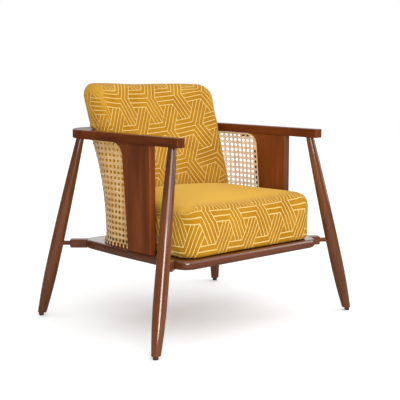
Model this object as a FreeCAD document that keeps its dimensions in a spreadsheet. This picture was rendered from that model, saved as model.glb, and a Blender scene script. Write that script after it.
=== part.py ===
import FreeCAD, Part
import Sketcher
import math
import os

# Lounge armchair with a cane barrel, in millimetres.
# The floor is Z = 0, the front faces -Y, and the chair is symmetric about X = 0.

doc = FreeCAD.newDocument("accent_chair")
sheet = doc.addObject("Spreadsheet::Sheet", "Sizes")

dimensions = [
    # overall: half the width over the arms, and where the legs meet the underside of the arms
    ("arm_outer_x", 285),
    ("arm_under", 540),
    ("front_top_y", -226),
    ("rear_top_y", 198),
    # legs: how far each top is set in from the arm's edge, and how far the foot splays from it
    ("front_top_inset", 14),
    ("front_splay_x", 113),
    ("front_splay_y", -64),
    ("rear_top_inset", 15),
    ("rear_splay_x", 90),
    ("rear_splay_y", 92.5),
    ("leg_foot_dia", 24),
    ("leg_belly_dia", 38),
    ("leg_belly_height", 165),
    ("leg_top_dia", 22),
    ("leg_tenon_dia", 14),
    ("leg_tenon_length", 16),
    ("glide_dia", 15),
    ("glide_height", 10),
    ("glide_rim_share", 0.8),
    ("glide_bevel_share", 0.25),
    ("glide_pin_dia", 4),
    ("glide_pin_length", 14),
    # arms and the back rail that joins them
    ("arm_thick", 26),
    ("arm_width", 29),
    ("arm_front_reach", 36),
    ("arm_end_radius", 5),
    ("rail_rear_reach", 97),
    ("rail_back_width", 63),
    ("rail_joint_gap", 14),
    ("rail_outer_radius", 115),
    ("rail_inner_radius", 118),
    ("edge_round", 3),
    # seat platform
    ("deck_top", 238),
    ("deck_thick", 26),
    ("deck_set_in", 15),
    ("deck_side_bow", 9),
    ("deck_front_reach", 50),
    ("deck_rear_reach", 9),
    ("deck_front_radius", 45),
    ("deck_rear_radius", 50),
    ("deck_edge_round", 10),
    ("front_rail_width", 88),
    ("rear_rail_width", 125),
    ("side_rail_width", 90),
    ("deck_tenon_thick", 10),
    ("deck_tenon_length", 25),
    ("deck_tenon_width", 34),
    ("panel_thick", 9),
    ("panel_rebate", 10),
    # corner blocks with turned stubs
    ("block_width", 26),
    ("front_block_housing", 9.4),
    ("rear_block_housing", 14.8),
    ("block_stand_off", 40),
    ("front_block_angle", -34),
    ("rear_block_angle", 43),
    ("block_chamfer", 3),
    ("stub_dia", 13.5),
    ("stub_depth", 11),
    # upright side panels
    ("splat_thick", 22),
    ("splat_front_y", -138),
    ("splat_foot_width", 98),
    ("splat_neck_width", 122),
    ("splat_flare", 38),
    ("splat_flare_edge", 2),
    ("splat_edge_round", 4),
    ("splat_tenon_thick", 10),
    ("splat_tenon_length", 13),
    ("splat_tenon_width", 66),
    # cane barrel and the base rail under it
    ("cane_thick", 2.4),
    ("cane_inset", 4),
    ("cane_tuck", 20),
    ("cane_bar", 16),
    ("base_inset", 6),
    ("base_back_inset", 28),
    ("base_radius", 130),
    ("base_width", 12),
    ("base_height", 10),
    # seat cushion
    ("seat_side_gap", 6),
    ("seat_front_lip", 10),
    ("seat_thick", 134),
    ("seat_crown", 13),
    ("seat_crown_reach", 150),
    ("seat_roll", 34),
    ("seat_foot_roll", 14),
    ("seat_corner_radius", 44),
    ("seat_rear_radius", 26),
    ("seat_rear_inset", 0.6),
    ("seat_draw_in", 3),
    ("seat_level_spacing", 13),
    # back cushion
    ("back_side_gap", 18),
    ("back_depth", 166),
    ("back_recline", 15.7),
    ("back_top", 698),
    ("back_thick", 95),
    ("back_rear_lean", 12.6),
    ("back_cane_gap", 24),
    ("back_corner_drop", 45),
    ("back_swell", 7),
    ("back_swell_rise", 34),
    ("back_side_draw", 0.5),
    ("back_foot_roll", 12),
    ("back_front_corner", 0.4),
    ("tucked_corner_depth", 0.55),
    ("tucked_corner_reach", 0.84),
    ("free_corner", 0.46),
    ("back_front_top_turn", 0.8),
    ("back_rear_top_turn", 0.35),
    ("back_level_spacing", 12),
    # back board inside the back cushion
    ("board_thick", 12),
    ("board_side_gap", 58),
    ("board_set_back", 74),
    ("board_lean", 13.5),
    ("board_length", 410),
    ("board_groove", 8),
    # dowels and clearances
    ("dowel_dia", 8),
    ("rail_dowel_length", 44),
    ("block_dowel_length", 30),
    ("dowel_spacing", 14),
    ("fit_gap", 0.15),
    ("soft_gap", 0.4),
]
for row, (alias, number) in enumerate(dimensions, start=1):
    sheet.set("A%d" % row, alias)
    sheet.set("B%d" % row, str(number))
    sheet.setAlias("B%d" % row, alias)
doc.recompute()


class Size:
    """A length with its number and the sheet formula that it comes from."""

    def __init__(self, formula, number):
        self.formula = formula
        self.number = number

    def combine(self, sign, other, number):
        formula = other.formula if isinstance(other, Size) else repr(float(other))
        return Size("(%s %s %s)" % (self.formula, sign, formula), number)

    def __add__(self, other):
        return self.combine("+", other, self.number + float(other))

    def __sub__(self, other):
        return self.combine("-", other, self.number - float(other))

    def __mul__(self, other):
        return self.combine("*", other, self.number * float(other))

    def __truediv__(self, other):
        return self.combine("/", other, self.number / float(other))

    def __neg__(self):
        return Size("(-%s)" % self.formula, -self.number)

    def __float__(self):
        return self.number


def size(alias):
    return Size("Sizes.%s" % alias, float(sheet.get(alias)))


def as_size(value):
    return value if isinstance(value, Size) else Size("(%r)" % float(value), float(value))


def bind(thing, target, value):
    """Tie one property of an object to the sheet."""
    thing.setExpression(target, as_size(value).formula)


def vector(x, y, z=0.0):
    return FreeCAD.Vector(float(x), float(y), float(z))


def tangent(alias):
    return math.tan(math.radians(float(size(alias))))


# Sketch and feature helpers

def origin_plane(body, role):
    return [item for item in body.Origin.OriginFeatures if item.Role == role][0]


def new_sketch(body, role, name):
    sketch = body.newObject("Sketcher::SketchObject", name)
    sketch.AttachmentSupport = [(origin_plane(body, role), "")]
    sketch.MapMode = "FlatFace"
    return sketch


def arc_between(start, end, radius, turn):
    """Minor arc from start to end; turn is 1 for counter-clockwise and -1 for clockwise."""
    chord = end - start
    left = FreeCAD.Vector(-chord.y, chord.x, 0).normalize()
    reach = math.sqrt(max(radius ** 2 - (chord.Length / 2) ** 2, 0))
    centre = (start + end) / 2 + left * (reach * turn)
    first, last = (start, end) if turn > 0 else (end, start)
    angles = [math.atan2(point.y - centre.y, point.x - centre.x) for point in (first, last)]
    circle = Part.Circle(centre, FreeCAD.Vector(0, 0, 1), radius)
    return Part.ArcOfCircle(circle, angles[0], angles[1])


def outline(body, role, name, corners, arcs=None):
    """Closed sketch through corners; arcs maps a side's number to its radius and turn."""
    arcs = arcs or {}
    sketch = new_sketch(body, role, name)
    points = [vector(x, y) for x, y in corners]
    count = len(points)
    ends = []
    for side in range(count):
        start, end = points[side], points[(side + 1) % count]
        if side in arcs:
            radius, turn = arcs[side]
            sketch.addGeometry(arc_between(start, end, float(radius), turn), False)
            ends.append((1, 2) if turn > 0 else (2, 1))
        else:
            sketch.addGeometry(Part.LineSegment(start, end), False)
            ends.append((1, 2))
    for side in range(count):
        sketch.addConstraint(Sketcher.Constraint("Coincident", side - 1 if side else count - 1,
                                                 ends[side - 1][1], side, ends[side][0]))
    for side, (x, y) in enumerate(corners):
        for kind, value, axis in (("DistanceX", x, -2), ("DistanceY", y, -1)):
            if float(value) == 0:
                sketch.addConstraint(Sketcher.Constraint("PointOnObject", side, ends[side][0], axis))
                continue
            number = sketch.addConstraint(
                Sketcher.Constraint(kind, -1, 1, side, ends[side][0], float(value)))
            bind(sketch, "Constraints[%d]" % number, value)
    for side, (radius, turn) in arcs.items():
        number = sketch.addConstraint(Sketcher.Constraint("Radius", side, float(radius)))
        bind(sketch, "Constraints[%d]" % number, radius)
    return sketch


def pad(body, sketch, length, name="Pad"):
    feature = body.newObject("PartDesign::Pad", name)
    feature.Profile = sketch
    bind(feature, "Length", length)
    doc.recompute()
    return feature


def round_edges(body, feature, keep, radius, name="Round", kind="PartDesign::Fillet", target="Radius"):
    """Fillet or chamfer the edges of a feature that keep(edge) picks out."""
    names = ["Edge%d" % (number + 1)
             for number, edge in enumerate(feature.Shape.Edges) if keep(edge)]
    rounded = body.newObject(kind, name)
    rounded.Base = (feature, names)
    bind(rounded, target, radius)
    doc.recompute()
    return rounded


def is_upright(edge):
    ends = [vertex.Point for vertex in edge.Vertexes]
    if len(ends) != 2:
        return False
    rise = abs(ends[0].z - ends[1].z)
    return rise > overrun and (ends[0] - ends[1]).Length - rise < touch


def new_body(name):
    return doc.addObject("PartDesign::Body", name)


def box(name, low, high):
    """Box between two corners given as sizes."""
    block = doc.addObject("Part::Box", name)
    for side, axis, start, end in zip(("Length", "Width", "Height"), "xyz", low, high):
        bind(block, "Placement.Base.%s" % axis, start)
        bind(block, side, as_size(end) - start)
    return block


def turned_box(name, low, high, place, turn):
    """Box between two corners in a frame of its own, which stands at a place and is turned."""
    block = doc.addObject("Part::Box", name)
    for side, start, end in zip(("Length", "Width", "Height"), low, high):
        bind(block, side, as_size(end) - start)
    block.Placement = FreeCAD.Placement(place + turn.multVec(vector(*low)), turn)
    return block


def rod(name, diameter, length, start, direction):
    """Round bar of a given diameter from a point along a direction."""
    bar = doc.addObject("Part::Cylinder", name)
    bind(bar, "Radius", diameter / 2)
    bind(bar, "Height", length)
    bar.Placement = FreeCAD.Placement(start, FreeCAD.Rotation(FreeCAD.Vector(0, 0, 1), direction))
    return bar


def group(name, members):
    compound = doc.addObject("Part::Compound", name)
    compound.Links = members
    return compound


def cut(name, base, tools):
    result = doc.addObject("Part::Cut", name)
    result.Base = base
    result.Tool = tools[0] if len(tools) == 1 else group(name + "_tools", tools)
    return result


def fuse(name, members):
    result = doc.addObject("Part::MultiFuse", name)
    result.Shapes = members
    result.Refine = True
    return result


def common(name, first, second):
    result = doc.addObject("Part::Common", name)
    result.Base = first
    result.Tool = second
    return result


nodes = []


def keep_node(thing, label):
    thing.Label = label
    nodes.append(thing)
    return thing


def mirror_node(thing, label):
    twin = doc.addObject("Part::Mirroring", label + "_mirror")
    twin.Source = thing
    twin.Normal = FreeCAD.Vector(1, 0, 0)
    return keep_node(twin, label)


def plain_shape(name, shape):
    feature = doc.addObject("Part::Feature", name)
    feature.Shape = shape
    feature.Placement = FreeCAD.Placement()
    return feature


# Shared heights and places

far = 1000.0  # past everything, for cutters
overrun = 1.0  # how far a cutter starts outside its piece
touch = 0.01  # two places this near each other are the same
arm_under = size("arm_under")
arm_top = arm_under + size("arm_thick")
arm_inner_x = size("arm_outer_x") - size("arm_width")
rail_rear_y = size("rear_top_y") + size("rail_rear_reach")
rail_inner_y = rail_rear_y - size("rail_back_width")
arm_front_y = size("front_top_y") - size("arm_front_reach")
arm_joint_y = rail_inner_y - size("rail_inner_radius") - size("rail_joint_gap")
deck_top = size("deck_top")
deck_under = deck_top - size("deck_thick")
deck_middle = deck_top - size("deck_thick") / 2
fit_gap = size("fit_gap")
snug = as_size(0)
soft_gap = size("soft_gap")
splat_outer_x = arm_inner_x + size("splat_thick")
splat_foot_rear = size("splat_front_y") + size("splat_foot_width")
splat_neck_rear = size("splat_front_y") + size("splat_neck_width")
deck_half_width = size("arm_outer_x") - size("deck_set_in")
deck_front_y = size("front_top_y") - size("deck_front_reach")
deck_rear_y = size("rear_top_y") + size("deck_rear_reach")
front_rail_rear = deck_front_y + size("front_rail_width")
rear_rail_front = deck_rear_y - size("rear_rail_width")
side_rail_inner = deck_half_width + size("deck_side_bow") - size("side_rail_width")
base_side_x = arm_inner_x + size("base_inset")
base_back_y = size("rear_top_y") - size("base_back_inset")
seat_half_width = arm_inner_x - size("seat_side_gap")
seat_front_y = deck_front_y + size("seat_front_lip")
back_half_width = arm_inner_x - size("back_side_gap")
back_foot_y = size("rear_top_y") - size("back_depth")

# Each corner: foot, top and the level of the platform on the leg's axis, and the block's direction.
# A block runs from its stand-off at the leg to a housing's depth inside the platform's edge.
corners = {}
for end in ("front", "rear"):
    top_x = size("arm_outer_x") - size(end + "_top_inset")
    top_y = size(end + "_top_y")
    crossing_x = top_x + size(end + "_splay_x") * (-(deck_middle / arm_under) + 1)
    foot = vector(top_x + size(end + "_splay_x"), top_y + size(end + "_splay_y"))
    top = vector(top_x, top_y, arm_under)
    angle = math.radians(float(size(end + "_block_angle")))
    inner_x = deck_half_width - size(end + "_block_housing")
    corners[end] = {
        "foot": foot,
        "top": top,
        "axis": (top - foot).normalize(),
        "length": (top - foot).Length,
        "crossing": foot + (top - foot) * (float(deck_middle) / float(arm_under)),
        "outward": FreeCAD.Vector(math.cos(angle), math.sin(angle), 0),
        "block": (crossing_x - inner_x) / math.cos(angle) - size("block_stand_off"),
    }


def stub_length():
    return size("block_stand_off") + size("stub_depth")


# Legs: a turned cigar on its own axis, trimmed flat at the glide and at the arm

def turned_leg(end):
    corner = corners[end]
    body = new_body("turned_leg_" + end)
    foot_radius = size("leg_foot_dia") / 2
    belly_radius = size("leg_belly_dia") / 2
    top_radius = size("leg_top_dia") / 2
    belly = size("leg_belly_height")
    top = corner["length"] + float(size("leg_top_dia")) / 2
    low_rise, low_swell = belly, belly_radius - foot_radius
    high_rise, high_swell = -(belly - top), belly_radius - top_radius
    low_bend = (low_rise * low_rise + low_swell * low_swell) / (low_swell * 2)
    high_bend = (high_rise * high_rise + high_swell * high_swell) / (high_swell * 2)
    profile = outline(body, "XZ_Plane", "leg_profile_" + end,
                      [(0, 0), (foot_radius, 0), (belly_radius, belly), (top_radius, top), (0, top)],
                      {1: (low_bend, 1), 2: (high_bend, 1)})
    turning = body.newObject("PartDesign::Revolution", "leg_turning_" + end)
    turning.Profile = profile
    turning.ReferenceAxis = (profile, ["V_Axis"])
    turning.Angle = 360
    body.Placement = FreeCAD.Placement(
        corner["foot"], FreeCAD.Rotation(FreeCAD.Vector(0, 0, 1), corner["axis"]))
    return body


def stub_hole(end):
    """Room in the leg for the stub, from inside the belly back towards the block."""
    corner = corners[end]
    start = corner["crossing"] + corner["outward"] * (float(size("stub_depth")) + float(fit_gap))
    return rod("stub_hole_" + end, size("stub_dia") + fit_gap * 2, stub_length(), start, -corner["outward"])


def leg_tenon(name, end, gap):
    corner = corners[end]
    root = size("leg_tenon_length")
    start = corner["top"] - corner["axis"] * float(root)
    return rod(name + end, size("leg_tenon_dia") + gap * 2, size("leg_tenon_length") + gap + root,
               start, corner["axis"])


def pin_hole(end, gap):
    foot = corners[end]["foot"]
    start = FreeCAD.Vector(foot.x, foot.y, float(size("glide_height")) - overrun)
    return rod("glide_pin_" + end, size("glide_pin_dia") + gap * 2, size("glide_pin_length") + gap + overrun,
               start, FreeCAD.Vector(0, 0, 1))


def build_leg(end):
    above = box("above_arm_" + end, (-far, -far, arm_under), (far, far, arm_under + far))
    below = box("below_glide_" + end, (-far, -far, -far), (far, far, size("glide_height")))
    trimmed = cut("leg_trimmed_" + end, turned_leg(end), [above, below])
    tenoned = fuse("leg_tenoned_" + end, [trimmed, leg_tenon("leg_tenon_", end, snug)])
    leg = cut("leg_" + end, tenoned, [stub_hole(end), pin_hole(end, fit_gap)])
    keep_node(leg, "leg_%s_right" % end)
    mirror_node(leg, "leg_%s_left" % end)


def build_glide(end):
    """Nylon glide: a domed button with its pin up the leg's end grain."""
    foot = corners[end]["foot"]
    body = new_body("glide_turning_" + end)
    half = size("glide_dia") / 2
    height = size("glide_height")
    pin = size("glide_pin_dia") / 2
    foot_rim = half * size("glide_rim_share")
    bevel = height * size("glide_bevel_share")
    profile = outline(body, "XZ_Plane", "glide_profile_" + end,
                      [(0, 0), (foot_rim, 0), (half, bevel), (half, height), (pin, height),
                       (pin, height + size("glide_pin_length")), (0, height + size("glide_pin_length"))])
    turning = body.newObject("PartDesign::Revolution", "glide_revolve_" + end)
    turning.Profile = profile
    turning.ReferenceAxis = (profile, ["V_Axis"])
    turning.Angle = 360
    body.Placement = FreeCAD.Placement(foot, FreeCAD.Rotation())
    keep_node(body, "glide_%s_right" % end)
    mirror_node(body, "glide_%s_left" % end)


for end in corners:
    build_leg(end)
    build_glide(end)


# Upright side panels, with stub tenons into the arm and the platform

def splat_tenons(gap):
    middle_x = arm_inner_x + size("splat_thick") / 2
    half_thick = size("splat_tenon_thick") / 2 + gap
    middle_y = size("splat_front_y") + size("splat_foot_width") / 2
    half_width = size("splat_tenon_width") / 2 + gap
    length = size("splat_tenon_length") + gap
    root = size("splat_tenon_length")
    lower = box("splat_foot_tenon", (middle_x - half_thick, middle_y - half_width, deck_top - length),
                (middle_x + half_thick, middle_y + half_width, deck_top + root))
    upper = box("splat_head_tenon", (middle_x - half_thick, middle_y - half_width, arm_under - root),
                (middle_x + half_thick, middle_y + half_width, arm_under + length))
    return [lower, upper]


def build_splat():
    body = new_body("splat_board")
    front = size("splat_front_y")
    flare = size("splat_flare")
    flare_top = arm_under - size("splat_flare_edge")
    flare_rear = splat_neck_rear + flare
    profile = outline(body, "YZ_Plane", "splat_profile",
                      [(front, deck_top), (splat_foot_rear, deck_top), (splat_neck_rear, flare_top - flare),
                       (flare_rear, flare_top), (flare_rear, arm_under), (front, arm_under)],
                      {2: (flare, -1)})
    board = pad(body, profile, size("splat_thick"), "splat_pad")
    front_y = float(front)
    round_edges(body, board, lambda edge: is_upright(edge) and abs(edge.CenterOfMass.y - front_y) < touch,
                size("splat_edge_round"), "splat_round")
    bind(body, "Placement.Base.x", arm_inner_x)
    splat = fuse("splat", [body] + splat_tenons(snug))
    keep_node(splat, "side_panel_right")
    return splat, mirror_node(splat, "side_panel_left")


splat_right, splat_left = build_splat()


# Arms and the back rail

def rail_dowels(gap):
    """Two dowels across the joint of the right arm and the back rail."""
    middle_x = size("arm_outer_x") - size("arm_width") / 2
    length = size("rail_dowel_length") + gap * 2
    start_y = arm_joint_y - length / 2
    bars = []
    for side in (-1, 1):
        start = vector(middle_x + size("dowel_spacing") / 2 * side, start_y, arm_under + size("arm_thick") / 2)
        bars.append(rod("rail_dowel", size("dowel_dia") + gap * 2, length, start, FreeCAD.Vector(0, 1, 0)))
    return bars


def both_sides(tools):
    mirrored = []
    for tool in tools:
        twin = doc.addObject("Part::Mirroring", tool.Name + "_twin")
        twin.Source = tool
        twin.Normal = FreeCAD.Vector(1, 0, 0)
        mirrored.append(twin)
    return tools + mirrored


def build_arm():
    body = new_body("arm_plank")
    outer, front, joint = size("arm_outer_x"), arm_front_y, arm_joint_y
    profile = outline(body, "XY_Plane", "arm_profile",
                      [(arm_inner_x, front), (outer, front), (outer, joint), (arm_inner_x, joint)])
    plank = pad(body, profile, size("arm_thick"), "arm_pad")
    front_y, joint_y = float(front), float(joint)
    nose = round_edges(body, plank,
                       lambda edge: is_upright(edge) and abs(edge.CenterOfMass.y - front_y) < touch,
                       size("arm_end_radius"), "arm_nose")
    round_edges(body, nose,
                lambda edge: not is_upright(edge) and abs(edge.CenterOfMass.y - joint_y) > touch,
                size("edge_round"), "arm_round")
    bind(body, "Placement.Base.z", arm_under)
    sockets = [leg_tenon("arm_socket_", "front", fit_gap), splat_tenons(fit_gap)[1]] + rail_dowels(fit_gap)
    arm = cut("arm", body, sockets)
    keep_node(arm, "arm_right")
    mirror_node(arm, "arm_left")


def build_back_rail():
    body = new_body("back_rail_board")
    outer, joint, rear = size("arm_outer_x"), arm_joint_y, rail_rear_y
    outer_radius, inner_radius = size("rail_outer_radius"), size("rail_inner_radius")
    outer_turn = outer - outer_radius
    inner_turn = arm_inner_x - inner_radius
    outer_start, inner_start = rear - outer_radius, rail_inner_y - inner_radius
    profile = outline(
        body, "XY_Plane", "back_rail_profile",
        [(outer, joint), (outer, outer_start), (outer_turn, rear), (-outer_turn, rear),
         (-outer, outer_start), (-outer, joint), (-arm_inner_x, joint), (-arm_inner_x, inner_start),
         (-inner_turn, rail_inner_y), (inner_turn, rail_inner_y), (arm_inner_x, inner_start),
         (arm_inner_x, joint)],
        {1: (outer_radius, 1), 3: (outer_radius, 1), 7: (inner_radius, -1), 9: (inner_radius, -1)})
    board = pad(body, profile, size("arm_thick"), "back_rail_pad")
    joint_y = float(joint)
    round_edges(body, board,
                lambda edge: not is_upright(edge) and abs(edge.CenterOfMass.y - joint_y) > touch,
                size("edge_round"), "back_rail_round")
    bind(body, "Placement.Base.z", arm_under)
    sockets = both_sides([leg_tenon("rail_socket_", "rear", fit_gap)] + rail_dowels(fit_gap))
    keep_node(cut("back_rail_cut", body, sockets), "back_rail")


build_arm()
build_back_rail()
keep_node(group("rail_dowel_group", both_sides(rail_dowels(snug))), "rail_dowels")


# Corner blocks

def block_origin(end):
    corner = corners[end]
    return corner["crossing"] - corner["outward"] * float(size("block_stand_off") + corner["block"])


def block_dowels(end, gap):
    """Two dowels from the block's inner end into the platform."""
    corner = corners[end]
    across = FreeCAD.Vector(-corner["outward"].y, corner["outward"].x, 0)
    length = size("block_dowel_length") + gap * 2
    bars = []
    for side in (-1, 1):
        start = (block_origin(end) - corner["outward"] * float(length / 2)
                 + across * float(size("dowel_spacing") / 2 * side))
        bars.append(rod("block_dowel_" + end, size("dowel_dia") + gap * 2, length, start, corner["outward"]))
    return bars


def block_notch(end):
    """Housing in the platform's corner that the block is let into."""
    half = size("block_width") / 2 + fit_gap
    turn = FreeCAD.Rotation(FreeCAD.Vector(1, 0, 0), corners[end]["outward"])
    return turned_box("block_notch_" + end, (-fit_gap, -half, -far), (corners[end]["block"], half, far),
                      block_origin(end), turn)


def build_block(end):
    corner = corners[end]
    body = new_body("corner_block_" + end)
    half_width = size("block_width") / 2
    half_height = size("deck_thick") / 2
    profile = outline(body, "YZ_Plane", "block_profile_" + end,
                      [(-half_width, -half_height), (half_width, -half_height),
                       (half_width, half_height), (-half_width, half_height)])
    bar = pad(body, profile, corner["block"], "block_pad_" + end)
    tip = float(corner["block"])
    round_edges(body, bar, lambda edge: abs(edge.CenterOfMass.x - tip) < touch,
                size("block_chamfer"), "block_chamfer_" + end, "PartDesign::Chamfer", "Size")
    circle = new_sketch(body, "YZ_Plane", "stub_profile_" + end)
    radius = size("stub_dia") / 2
    circle.addGeometry(Part.Circle(FreeCAD.Vector(), FreeCAD.Vector(0, 0, 1), float(radius)), False)
    circle.addConstraint(Sketcher.Constraint("Coincident", 0, 3, -1, 1))
    bind(circle, "Constraints[%d]" % circle.addConstraint(Sketcher.Constraint("Radius", 0, float(radius))),
         radius)
    pad(body, circle, corner["block"] + stub_length(), "stub_pad_" + end)
    body.Placement = FreeCAD.Placement(
        block_origin(end), FreeCAD.Rotation(FreeCAD.Vector(1, 0, 0), corner["outward"]))
    block = cut("block_" + end, body, block_dowels(end, fit_gap))
    keep_node(block, "corner_block_%s_right" % end)
    mirror_node(block, "corner_block_%s_left" % end)


for end in corners:
    build_block(end)
keep_node(group("block_dowel_group",
                both_sides(block_dowels("front", snug) + block_dowels("rear", snug))),
          "block_dowels")


# Seat platform: one rounded outline, sawn into front, rear and side rails

def platform_blank():
    body = new_body("platform_blank")
    half, bow = deck_half_width, size("deck_side_bow")
    front, rear = deck_front_y, deck_rear_y
    half_run = (rear - front) / 2
    bend = (half_run * half_run + bow * bow) / (bow * 2)
    profile = outline(body, "XY_Plane", "platform_profile",
                      [(-half, front), (half, front), (half, rear), (-half, rear)],
                      {1: (bend, 1), 3: (bend, 1)})
    slab = pad(body, profile, size("deck_thick"), "platform_pad")
    middle_y = (float(front) + float(rear)) / 2
    nose = round_edges(body, slab, lambda edge: is_upright(edge) and edge.CenterOfMass.y < middle_y,
                       size("deck_front_radius"), "platform_front_corners")
    rear_limit = float(rear) - touch
    heel = round_edges(body, nose, lambda edge: is_upright(edge) and edge.CenterOfMass.y > rear_limit,
                       size("deck_rear_radius"), "platform_rear_corners")
    round_edges(body, heel, lambda edge: not is_upright(edge), size("deck_edge_round"), "platform_round")
    bind(body, "Placement.Base.z", deck_under)
    return body


def side_tenon(name, gap):
    """Stub tenons of the right side rail, in front of it and behind it."""
    middle_x = side_rail_inner + size("panel_rebate") + size("deck_tenon_width") / 2
    half_width = size("deck_tenon_width") / 2 + gap
    half_thick = size("deck_tenon_thick") / 2 + gap
    length = size("deck_tenon_length") + gap
    root = size("deck_tenon_length")
    low_z, high_z = deck_middle - half_thick, deck_middle + half_thick
    front = box(name + "_front", (middle_x - half_width, front_rail_rear - length, low_z),
                (middle_x + half_width, front_rail_rear + root, high_z))
    rear = box(name + "_rear", (middle_x - half_width, rear_rail_front - root, low_z),
               (middle_x + half_width, rear_rail_front + length, high_z))
    return [front, rear]


def panel_room(name, gap, rise=0):
    """The rebated opening that the seat panel drops into."""
    rebate = size("panel_rebate") + gap
    half = side_rail_inner + rebate
    return box(name, (-half, front_rail_rear - rebate, deck_top - size("panel_thick") - gap),
               (half, rear_rail_front + rebate, deck_top + rise))


def back_board(name, gap):
    """Reclined board, from its groove in the rear rail upwards."""
    half_width = back_half_width - size("board_side_gap") + gap
    half_thick = size("board_thick") / 2 + gap
    lean = FreeCAD.Rotation(FreeCAD.Vector(1, 0, 0), -float(size("board_lean")))
    return turned_box(name, (-half_width, -half_thick, -(size("board_groove") + gap)),
                      (half_width, half_thick, size("board_length") + gap),
                      vector(0, back_foot_y + size("board_set_back"), deck_top), lean)


def build_platform():
    blank = platform_blank()
    room = panel_room("panel_rebate_room", fit_gap, overrun)
    front_half = box("front_half", (-far, -far, -far), (far, front_rail_rear, far))
    rear_half = box("rear_half", (-far, rear_rail_front, -far), (far, far, far))
    side_part = box("side_part", (side_rail_inner, front_rail_rear, -far), (far, rear_rail_front, far))
    mortises = both_sides(side_tenon("side_mortise", fit_gap))
    front_tools = [room] + both_sides([block_notch("front")] + block_dowels("front", fit_gap))
    rear_tools = [room, back_board("board_groove", fit_gap)]
    rear_tools += both_sides([block_notch("rear")] + block_dowels("rear", fit_gap))
    for name, half, tools in (("front_rail", front_half, front_tools), ("rear_rail", rear_half, rear_tools)):
        sawn = common(name + "_sawn", blank, half)
        mortised = cut(name + "_mortised", sawn, mortises)
        for number, tool in enumerate(tools):
            mortised = cut("%s_step_%d" % (name, number), mortised, [tool])
        keep_node(mortised, name)
    side_sawn = cut("side_rail_rebated", common("side_rail_sawn", blank, side_part), [room])
    side_rail = cut("side_rail", fuse("side_rail_tenoned", [side_sawn] + side_tenon("side_tenon", snug)),
                    [splat_tenons(fit_gap)[0]])
    keep_node(side_rail, "side_rail_right")
    mirror_node(side_rail, "side_rail_left")
    panel = panel_room("seat_panel_board", snug)
    keep_node(panel, "seat_panel")


build_platform()
keep_node(back_board("back_board_panel", snug), "back_board")


# Cane barrel: flat at the sides, round at the rear corners, flaring back as it rises to the rail

cane_top_side = float(arm_inner_x + size("cane_inset"))
cane_top_back = float(rail_inner_y + size("cane_inset"))
cane_top_radius = float(size("rail_inner_radius") + size("cane_inset"))
cane_flare_power = 2.4
cane_levels = 5
cane_columns, cane_rows = 12, 4


def cane_share(z):
    return (z - float(deck_top)) / float(arm_under - deck_top)


def cane_back(z):
    share = max(cane_share(z), 0) ** cane_flare_power
    return float(base_back_y) * (1 - share) + cane_top_back * share


def cane_plan(z):
    """Half width, rear and corner radius of the barrel at a height."""
    share = cane_share(z)
    side = float(base_side_x) * (1 - share) + cane_top_side * share
    radius = float(size("base_radius")) * (1 - share) + cane_top_radius * share
    return side, cane_back(z), radius


def u_wire(z, side, back, radius, front, thick):
    """Closed U-shaped strip at height z: the outer line out and the inner line home."""
    half = thick / 2
    centre_x, centre_y = side - radius, back - radius
    step = math.sqrt(0.5)
    edges = []
    ends = []
    for grow, heading in ((half, 1), (-half, -1)):
        reach = radius + grow
        points = [
            vector(-side - grow, front, z),
            vector(-side - grow, centre_y, z),
            vector(-centre_x - reach * step, centre_y + reach * step, z),
            vector(-centre_x, back + grow, z),
            vector(centre_x, back + grow, z),
            vector(centre_x + reach * step, centre_y + reach * step, z),
            vector(side + grow, centre_y, z),
            vector(side + grow, front, z),
        ][::heading]
        ends.append((points[0], points[-1]))
        edges.append([
            Part.LineSegment(points[0], points[1]).toShape(),
            Part.Arc(points[1], points[2], points[3]).toShape(),
            Part.LineSegment(points[3], points[4]).toShape(),
            Part.Arc(points[4], points[5], points[6]).toShape(),
            Part.LineSegment(points[6], points[7]).toShape(),
        ])
    outer, inner = edges
    far_cap = Part.LineSegment(ends[0][1], ends[1][0]).toShape()
    near_cap = Part.LineSegment(ends[1][1], ends[0][0]).toShape()
    return Part.Wire(outer + [far_cap] + inner + [near_cap])


def cane_place(z, front, along):
    """Point at a way along the right half of the barrel, from its front edge, and the direction out."""
    side, back, radius = cane_plan(z)
    straight = back - radius - front
    turn = radius * math.pi / 2
    if along < straight:
        return vector(side, front + along, z), FreeCAD.Vector(1, 0, 0)
    if along < straight + turn:
        angle = (along - straight) / radius
        out = vector(math.cos(angle), math.sin(angle))
        return vector(side - radius, back - radius, z) + out * radius, out
    return vector(side - radius - (along - straight - turn), back, z), FreeCAD.Vector(0, 1, 0)


def cane_openings():
    """A plain grid of openings that stands for the eyes of the weave, on the right half."""
    bar = float(size("cane_bar"))
    low = float(deck_top + size("base_height"))
    row_height = (float(arm_under) - low) / cane_rows
    openings = []
    for row in range(cane_rows):
        z = low + row_height * (row + 0.5)
        top_row = row == cane_rows - 1
        front = float(splat_neck_rear + size("splat_flare") if top_row else splat_neck_rear)
        side, back, radius = cane_plan(z)
        pitch = (back - radius - front + radius * math.pi / 2 + side - radius) / (cane_columns / 2)
        reach, half_wide, half_high = row_height / 2, (pitch - bar) / 2, (row_height - bar) / 2
        for column in range(cane_columns // 2):
            place, out = cane_place(z, front, pitch * (column + 0.5))
            turn = FreeCAD.Rotation(FreeCAD.Vector(1, 0, 0), out)
            openings.append(turned_box("cane_opening", (-reach, -half_wide, -half_high),
                                       (reach, half_wide, half_high), place, turn))
    return openings


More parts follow.
